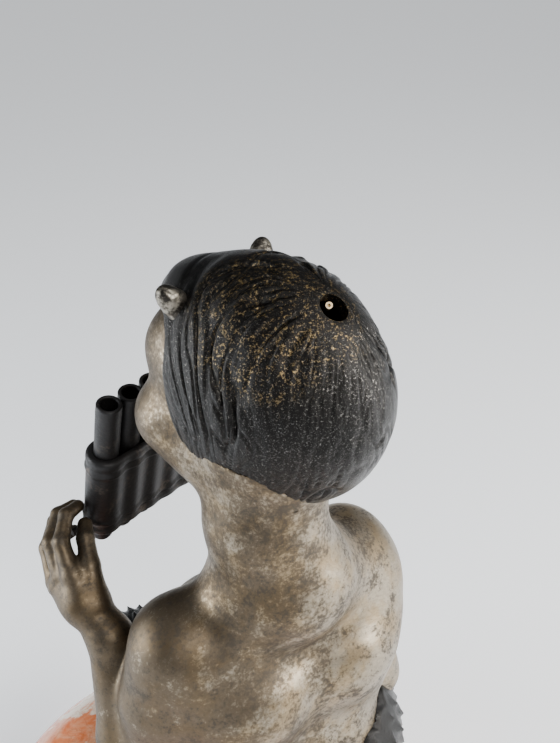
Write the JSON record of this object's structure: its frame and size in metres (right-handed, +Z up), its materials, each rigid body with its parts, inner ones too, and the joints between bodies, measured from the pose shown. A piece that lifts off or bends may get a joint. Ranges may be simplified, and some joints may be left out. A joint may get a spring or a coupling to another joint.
{
  "type": "faun pan-pipe figurine",
  "caption": "Seated faun child with horn buds and swirled hair, playing pan pipes; cast metal figure bolted to a rounded marble seat.",
  "frame": {"origin": "centre of the felt's flat rest face, under the middle of the marble seat", "axes": "+Z up; the figure's chest faces -Y; the figure's left side is +X"},
  "size_m": [0.11, 0.1175, 0.2056],
  "materials": {
    "marble": "polished, mottled orange and cream",
    "felt": "matt felt",
    "rubbed_bronze": "silvery bronze, rubbed, mottled brown patina",
    "dark_patina": "dark patina with worn gold flecks",
    "horn_metal": "rubbed, satin",
    "pipe_black": "matt black patina",
    "steel": "turned",
    "brass": "turned"
  },
  "bodies": {
    "root": {"stone_base": "marble", "felt_pad": "felt", "base_washer": "steel", "base_nut": "steel", "tie_rod": "steel", "head_nut": "brass", "base_dowel": "steel", "hip_casting": "dark_patina", "torso_shell": "rubbed_bronze", "head_shell": "rubbed_bronze", "hair_cap": "dark_patina", "cap_pin": "brass", "left_horn": "horn_metal", "right_horn": "horn_metal", "left_arm": "rubbed_bronze", "right_arm": "rubbed_bronze", "shoulder_pins": "steel", "left_leg": "dark_patina", "right_leg": "dark_patina", "leg_pins": "steel", "pipe_1": "pipe_black", "pipe_2": "pipe_black", "pipe_3": "pipe_black", "pipe_4": "pipe_black", "pipe_5": "pipe_black", "pipe_6": "pipe_black", "pipe_7": "pipe_black", "pipe_binding": "pipe_black", "left_hand_pin": "steel", "right_hand_pin": "steel"}
  },
  "joints": []
}
